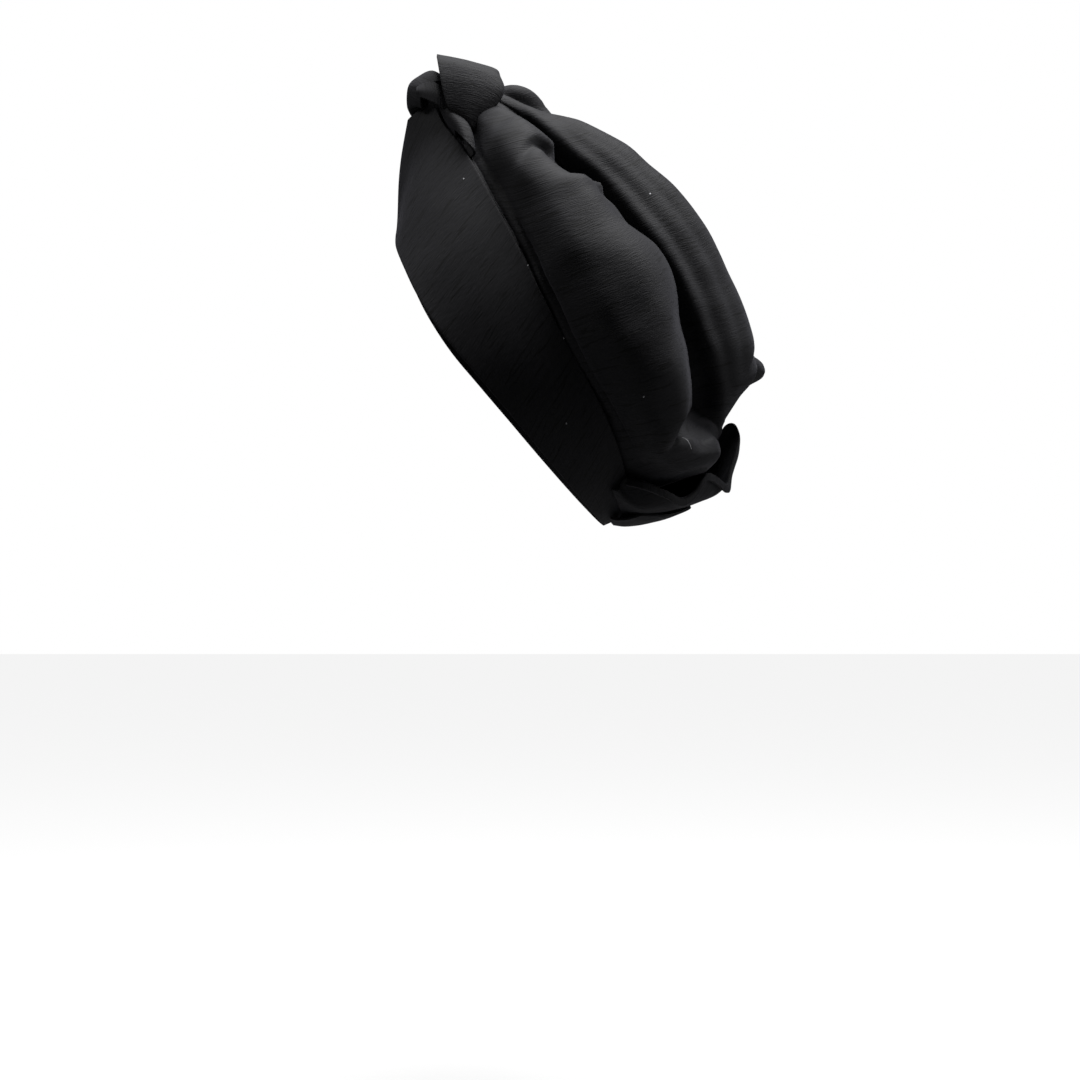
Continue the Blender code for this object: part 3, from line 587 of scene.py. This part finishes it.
def dupion_silk(name):
    """Slubbed dupion silk, plain woven: a dry black cloth with a low sheen and thick places in its weft."""
    sizes, colours = bpy.context.scene.wrap_sizes, bpy.context.scene.wrap_colours
    material = bpy.data.materials.new(name)
    material.use_nodes = True
    tree = material.node_tree
    shader = tree.nodes["Principled BSDF"]
    place = add_node(tree, "ShaderNodeUVMap", uv_map="grain").outputs["UV"]
    # threads wander a little, so the ribs aren't ruled lines
    wander = add_node(tree, "ShaderNodeTexNoise", {"Vector": place, "Scale": WANDER_SCALE, "Detail": 2.0})
    drift = add_node(tree, "ShaderNodeVectorMath", {0: wander.outputs["Color"], 1: (0.5, 0.5, 0.5)},
                     operation="SUBTRACT").outputs[0]
    drift = add_node(tree, "ShaderNodeVectorMath", {0: drift, 1: (WANDER, 0.0, 0.0)},
                     operation="MULTIPLY").outputs[0]
    place = add_node(tree, "ShaderNodeVectorMath", {0: place, 1: drift}, operation="ADD").outputs[0]

    def streaks(pitch, length, detail):
        """Noise drawn out along the weft: pitch from thread to thread, length along a thread."""
        spread = add_node(tree, "ShaderNodeVectorMath", {0: place, 1: (1 / pitch, 1 / length, 1.0)},
                          operation="MULTIPLY").outputs[0]
        return add_node(tree, "ShaderNodeTexNoise", {"Vector": spread, "Scale": 1.0, "Detail": detail},
                        noise_dimensions="2D").outputs["Fac"]

    # fine ribs of single weft threads, broader bars of thicker and thinner ones, and short slubs, darker with painted
    # shade
    ribs = streaks(sizes.weft * RIB_PITCH, RIB_LENGTH, 1.0)
    bars = streaks(sizes.weft * BAR_PITCH, BAR_LENGTH, 2.0)
    thick = streaks(sizes.weft * SLUB_PITCH, SLUB_LENGTH, 0.0)
    # where the slubs lie, the colour goes darker: painted shade
    slub_shade = add_node(tree, "ShaderNodeMapRange",
                    {"Value": thick, "From Min": SLUB_FROM, "From Max": SLUB_FULL}).outputs["Result"]
    tone = add_node(tree, "ShaderNodeMapRange",
                    {"Value": bars, "From Min": BAR_FROM, "From Max": BAR_FULL,
                     "To Min": 1 - BAR_TONE, "To Max": 1 + BAR_TONE}).outputs["Result"]
    ground = add_node(tree, "ShaderNodeVectorMath", {0: tuple(colours.silk), "Scale": tone},
                      operation="SCALE").outputs[0]
    # a mix node keeps its colours in sockets 6 and 7, and gives them out at 2; here it lays the painted shade of the
    # slubs over the ground
    colour = add_node(tree, "ShaderNodeMix", {0: slub_shade, 6: ground, 7: (*colours.slub_shade, 1.0)},
                      data_type="RGBA").outputs[2]
    # a few specks of pale lint
    specks = add_node(tree, "ShaderNodeTexVoronoi", {"Vector": place, "Scale": LINT_SCALE}, voronoi_dimensions="2D")
    near = add_node(tree, "ShaderNodeMath", {0: specks.outputs["Distance"], 1: LINT_SIZE},
                    operation="LESS_THAN").outputs[0]
    some = add_node(tree, "ShaderNodeMath", {0: specks.outputs["Color"], 1: LINT_ABOVE},
                    operation="GREATER_THAN").outputs[0]
    speck = add_node(tree, "ShaderNodeMath", {0: near, 1: some}, operation="MULTIPLY").outputs[0]
    pale = add_node(tree, "ShaderNodeVectorMath", {0: tuple(colours.lint), "Scale": speck},
                    operation="SCALE").outputs[0]
    colour = add_node(tree, "ShaderNodeVectorMath", {0: colour, 1: pale}, operation="ADD").outputs[0]
    tree.links.new(colour, shader.inputs["Base Color"])
    height = add_node(tree, "ShaderNodeMath", {0: ribs, 1: RIB_RELIEF}, operation="MULTIPLY").outputs[0]
    height = add_node(tree, "ShaderNodeMath", {0: bars, 1: BAR_RELIEF, 2: height}, operation="MULTIPLY_ADD").outputs[0]
    bump = add_node(tree, "ShaderNodeBump", {"Height": height, "Strength": RELIEF_STRENGTH, "Distance": RELIEF})
    tree.links.new(bump.outputs["Normal"], shader.inputs["Normal"])
    shader.inputs["Roughness"].default_value = ROUGHNESS
    shader.inputs["IOR"].default_value = IOR
    shader.inputs["Specular IOR Level"].default_value = SPECULAR
    shader.inputs["Sheen Weight"].default_value = SHEEN
    shader.inputs["Sheen Roughness"].default_value = SHEEN_ROUGHNESS
    shader.inputs["Sheen Tint"].default_value = (*linear(SHEEN_TINT), 1.0)
    return material


def sew(name, grid, node, counts=(1, 1, 1), ring=False):
    """Makes a piece of cloth from the grid of its middle surface, and puts it in the place of its CAD node."""
    sizes = bpy.context.scene.wrap_sizes
    rows, columns = grid.shape[:2]
    if ring:
        # the band's halves meet in seams at the brow and the nape
        half = rows // 2
        closed = np.concatenate([grid, grid[:1]])
        halves = [grain(closed[:half + 1], counts), grain(closed[half:], counts)]
    else:
        half = rows - 1
        halves = [grain(grid, counts)]
    faces, places = [], []
    for part, (along, width) in enumerate(halves):
        for i in range(len(along) - 1):
            here, ahead = part * half + i, (part * half + i + 1) % rows
            for k in range(columns - 1):
                faces.append((here * columns + k, ahead * columns + k, ahead * columns + k + 1, here * columns + k + 1))
                places += [(along[i + a, k + b] + part * SEAM_APART, width[i + a, k + b])
                           for a, b in ((0, 0), (1, 0), (1, 1), (0, 1))]
    lean = sizes.lean
    turned = grid.reshape(-1, 3) @ np.array(((1, 0, 0), (0, math.cos(lean), -math.sin(lean)),
                                              (0, math.sin(lean), math.cos(lean))))
    mesh = bpy.data.meshes.new(name)
    mesh.from_pydata([tuple(point) for point in turned], [], faces)
    layer = mesh.uv_layers.new(name="grain")
    layer.data.foreach_set("uv", np.array(places, dtype=np.float32).ravel())
    mesh.shade_smooth()
    obj = bpy.data.objects.new(name, mesh)
    bpy.context.scene.collection.objects.link(obj)
    mesh.materials.append(dupion_silk("slubbed_dupion_silk_" + node))
    wall = obj.modifiers.new("cloth", "SOLIDIFY")
    wall.thickness = sizes.cloth
    wall.offset = 0.0
    wall.use_even_offset = False
    edge = obj.modifiers.new("soft edge", "BEVEL")
    edge.width = sizes.cloth * EDGE_SHARE
    edge.segments = 2
    edge.limit_method = "ANGLE"
    edge.angle_limit = EDGE_ANGLE
    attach(obj, BODY)
    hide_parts(node)
    cell = np.linalg.norm(np.cross(np.diff(grid, axis=0)[:, :-1], np.diff(grid, axis=1)[:-1]), axis=-1)
    area = float(cell.sum())
    long_side = float(np.linalg.norm(np.diff(grid, axis=0), axis=-1).sum(axis=0).max())
    if ring:
        area *= rows / (rows - 1)
        long_side *= rows / (rows - 1)
    return obj


class WRAP_OT_brow_band(bpy.types.Operator):
    """Makes the band right round the opening"""
    bl_idname = "wrap.brow_band"
    bl_label = "Brow band"

    def execute(self, context):
        pattern = Pattern(context.scene.wrap_sizes)
        around = np.linspace(0, len(pattern.ring), BAND_CELLS[0], endpoint=False)
        grid = across(through(pattern.ring, around, ring=True), np.linspace(0, 2, BAND_CELLS[1] + 1))
        sew("band_cloth", ruffle(grid, *BAND_GIVE), "brow_band",
            counts=BAND_WEAVE, ring=True)
        return {"FINISHED"}


class WRAP_OT_crown(bpy.types.Operator):
    """Makes the padded rolls of the crown"""
    bl_idname = "wrap.crown"
    bl_label = "Crown"

    def execute(self, context):
        pattern = Pattern(context.scene.wrap_sizes)
        net = pattern.crown_net()
        along = np.linspace(0, len(net) - 1, CROWN_CELLS[0] + 1)
        rows = through(net, along)
        turns = through(np.array([[row.turn] for row in CROWN]), along)[:, 0]
        for row, turn in zip(rows, turns):
            row[:3] = pattern.hem(turn, CROWN_OVER)
            row[:-4:-1] = pattern.hem(-turn, CROWN_OVER)
        line = np.array([(point.row, point.side, point.back, point.up) for point in CREST_LINE])
        drawn = (along > line[0, 0]) & (along < line[-1, 0])
        share = np.interp(along[drawn], line[:, 0], range(len(line)))
        crest = through(line[:, 1:], share) * (pattern.width, pattern.length, pattern.height)
        pull = crest - rows[drawn, CREST_AT]
        for control, weight in CREST_PULL.items():
            rows[drawn, control] += weight * pull
            rows[drawn, -1 - control] += weight * FAR_CREST * pull * (-1, 1, 1)
        grid = across(rows, np.linspace(0, net.shape[1] - 1, CROWN_CELLS[1] + 1))
        grid = press_folds(grid, net, pattern.height)
        sew("crown_cloth", ruffle(grid, *CROWN_GIVE), "crown",
            counts=CROWN_WEAVE)
        return {"FINISHED"}


class WRAP_OT_knot_strap(bpy.types.Operator):
    """Makes the strap folded over the knot"""
    bl_idname = "wrap.knot_strap"
    bl_label = "Knot strap"

    def execute(self, context):
        pattern = Pattern(context.scene.wrap_sizes)
        net = []
        for side in (1, -1):
            for row in STRAP[::-1] if side > 0 else STRAP[1:]:
                front = pattern.at(side * row.side, *row.front)
                rear = pattern.at(side * row.side, *row.rear)
                outward = unit((front + rear) * (1, 0, STRAP_ROUND) / 2 - (0, 0, STRAP_HEART))
                widened = (row.rear[1] - STRAP_TURN_FROM) / STRAP_TURN_OVER
                turned = STRAP_TURN * min(1.0, max(STRAP_TURN_LEAST, widened))
                net.append([front, (front + rear) / 2 + STRAP_BULGE * outward, rear, rear - turned * outward])
        grid = evenly(net, STRAP_CELLS)
        sew("strap_cloth", ruffle(grid, *STRAP_GIVE), "knot_strap")
        return {"FINISHED"}


class WRAP_OT_knot_tongue(bpy.types.Operator):
    """Makes the tongue of cloth in front of the knot"""
    bl_idname = "wrap.knot_tongue"
    bl_label = "Knot tongue"

    def execute(self, context):
        pattern = Pattern(context.scene.wrap_sizes)
        steps = np.linspace(-1, 1, TONGUE_STEPS)
        feet = [pattern.hem(step * TONGUE_TURN) for step in steps]
        net = [[foot[level] for foot in feet] for level in range(len(feet[0]))]
        for row in TONGUE:
            line = []
            for step in steps:
                sweep = TONGUE_SWEEP * pattern.length * (row.half / TONGUE[-1].half) * step ** 2
                lift = row.lift * pattern.height * step ** 2
                line.append(pattern.at(row.half * step, row.back, row.up) + (0, sweep, lift))
            net.append(line)
        sew("tongue_cloth", ruffle(evenly(net, TONGUE_CELLS), *TONGUE_GIVE), "knot_tongue")
        return {"FINISHED"}


class WRAP_OT_knot_folds(bpy.types.Operator):
    """Makes the folded ears on each side of the tongue"""
    bl_idname = "wrap.knot_folds"
    bl_label = "Knot folds"

    def execute(self, context):
        pattern = Pattern(context.scene.wrap_sizes)
        for name, side in (("left", 1), ("right", -1)):
            net = []
            for row in EAR:
                upper = pattern.at(*row.upper) * (side, 1, 1)
                lower = pattern.at(*row.lower) * (side, 1, 1)
                net.append([upper, (upper + lower) / 2 + (side * EAR_BOW, 0, 0), lower])
            sew("ear_cloth_" + name, evenly(net, EAR_CELLS), "knot_fold_" + name)
        return {"FINISHED"}


class WRAP_OT_tucks(bpy.types.Operator):
    """Makes the pleats that come out of the band beside the knot"""
    bl_idname = "wrap.tucks"
    bl_label = "Tucks"

    def execute(self, context):
        pattern = Pattern(context.scene.wrap_sizes)
        for name, side in (("left", 1), ("right", -1)):
            net = []
            for row in TUCK:
                turn = side * row.turn
                ridge = pattern.at(*row.ridge) * (side, 1, 1)
                back = pattern.at(*TUCK_BACK) * (side, 1, 1)
                hem = pattern.hem(turn, TUCK_OVER)
                middle = (hem[-1] + ridge) / 2 + (side * TUCK_BOW, 0, 0)
                net.append(hem + [middle, ridge, ridge + back])
            sew("tuck_cloth_" + name, evenly(net, TUCK_CELLS), "tuck_" + name)
        return {"FINISHED"}


class WRAP_OT_nape_cuff(bpy.types.Operator):
    """Makes the turned-up cuff at the nape"""
    bl_idname = "wrap.nape_cuff"
    bl_label = "Nape cuff"

    def execute(self, context):
        pattern = Pattern(context.scene.wrap_sizes)
        grid = evenly(pattern.cuff_net(), CUFF_CELLS)
        sew("cuff_cloth", ruffle(grid, *CUFF_GIVE), "nape_cuff")
        return {"FINISHED"}


class WRAP_OT_nape_roll(bpy.types.Operator):
    """Makes the small roll of cloth under the cuff"""
    bl_idname = "wrap.nape_roll"
    bl_label = "Nape roll"

    def execute(self, context):
        pattern = Pattern(context.scene.wrap_sizes)
        cuff = pattern.cuff_net()
        turns = [row.turn for row in CUFF]
        net = []
        for row in ROLL:
            place = np.interp(row.turn, turns, range(len(turns)))
            foot = pattern.on_band(row.turn, ROLL_FOOT, SEATED)
            top = pattern.off(cuff, place, 2 * row.top, ROLL_TOP_OUT)
            chord = unit(top - foot)
            outward = unit(foot * (1, 1, 0))
            outward = unit(outward - chord * np.dot(chord, outward))
            swell = row.puff * pattern.length * outward
            low, high = (foot + way * (top - foot) + puff * swell for way, puff in (ROLL_LOW, ROLL_HIGH))
            net.append([foot, low, high, top])
        sew("roll_cloth", ruffle(evenly(net, ROLL_CELLS), *ROLL_GIVE), "nape_roll")
        return {"FINISHED"}


class WRAP_OT_studio(bpy.types.Operator):
    """Sets the pale floor, the soft lights and the camera"""
    bl_idname = "wrap.studio"
    bl_label = "Studio"

    def execute(self, context):
        scene = context.scene
        floor_mesh = bpy.data.meshes.new("floor")
        corners = ((-1, -1), (1, -1), (1, 1), (-1, 1))
        floor_mesh.from_pydata([(FLOOR_REACH * x, FLOOR_REACH * y, FLOOR_LEVEL) for x, y in corners], [],
                               [(0, 1, 2, 3)])
        floor = bpy.data.objects.new("floor", floor_mesh)
        scene.collection.objects.link(floor)
        paint = bpy.data.materials.new("matt_white_board")
        paint.use_nodes = True
        shader = paint.node_tree.nodes["Principled BSDF"]
        shader.inputs["Base Color"].default_value = (*scene.wrap_colours.floor, 1.0)
        shader.inputs["Roughness"].default_value = FLOOR_ROUGHNESS
        seen = add_node(paint.node_tree, "ShaderNodeLightPath").outputs["Is Camera Ray"]
        paint.node_tree.links.new(seen, shader.inputs["Emission Strength"])
        shader.inputs["Emission Color"].default_value = FLOOR_GLOW
        floor_mesh.materials.append(paint)

        world = bpy.data.worlds.new("studio")
        scene.world = world
        world.use_nodes = True
        tree = world.node_tree
        back = tree.nodes["Background"]
        path = add_node(tree, "ShaderNodeLightPath")
        strength = add_node(tree, "ShaderNodeMapRange", {"Value": path.outputs["Is Camera Ray"],
                                                         "To Min": SKY_CAST, "To Max": SKY_SEEN})
        tree.links.new(strength.outputs["Result"], back.inputs["Strength"])
        back.inputs["Color"].default_value = (1.0, 1.0, 1.0, 1.0)

        for lamp in LAMPS:
            light = bpy.data.lights.new(lamp.name, "AREA")
            light.size = lamp.size
            light.energy = lamp.power
            hung = bpy.data.objects.new(lamp.name, light)
            scene.collection.objects.link(hung)
            hung.location = lamp.place
            hung.rotation_mode = "QUATERNION"
            hung.rotation_quaternion = (Vector(LIT_PLACE) - Vector(lamp.place)).to_track_quat("-Z", "Y")

        lens = bpy.data.cameras.new("camera")
        camera = bpy.data.objects.new("camera", lens)
        scene.collection.objects.link(camera)
        camera.location = CAMERA_PLACE
        camera.rotation_euler = (math.radians(90), 0, math.radians(90))
        lens.lens = LENS
        lens.sensor_width = SENSOR
        scene.camera = camera
        scene.view_settings.view_transform = "Standard"
        return {"FINISHED"}


class WRAP_PT_panel(bpy.types.Panel):
    """The headwrap's sizes, colours and pieces"""
    bl_idname = "WRAP_PT_panel"
    bl_label = "Turban headwrap"
    bl_space_type = "VIEW_3D"
    bl_region_type = "UI"
    bl_category = "Headwrap"

    def draw(self, context):
        for group in (context.scene.wrap_sizes, context.scene.wrap_colours):
            for key in group.bl_rna.properties.keys():
                if key not in ("rna_type", "name"):
                    self.layout.prop(group, key)
        for operator in OPERATORS:
            self.layout.operator(operator.bl_idname)


OPERATORS = (WRAP_OT_brow_band, WRAP_OT_crown, WRAP_OT_knot_strap, WRAP_OT_knot_tongue, WRAP_OT_knot_folds,
             WRAP_OT_tucks, WRAP_OT_nape_cuff, WRAP_OT_nape_roll, WRAP_OT_studio)
CLASSES = (WrapSizes, WrapColours, *OPERATORS, WRAP_PT_panel)


def register():
    for cls in CLASSES:
        bpy.utils.register_class(cls)
    bpy.types.Scene.wrap_sizes = bpy.props.PointerProperty(type=WrapSizes)
    bpy.types.Scene.wrap_colours = bpy.props.PointerProperty(type=WrapColours)


def unregister():
    del bpy.types.Scene.wrap_sizes
    del bpy.types.Scene.wrap_colours
    for cls in reversed(CLASSES):
        bpy.utils.unregister_class(cls)


def main():
    """Makes every piece in order."""
    register()
    for operator in OPERATORS:
        group, name = operator.bl_idname.split(".")
        getattr(getattr(bpy.ops, group), name)()


if __name__ == "__main__":
    main()
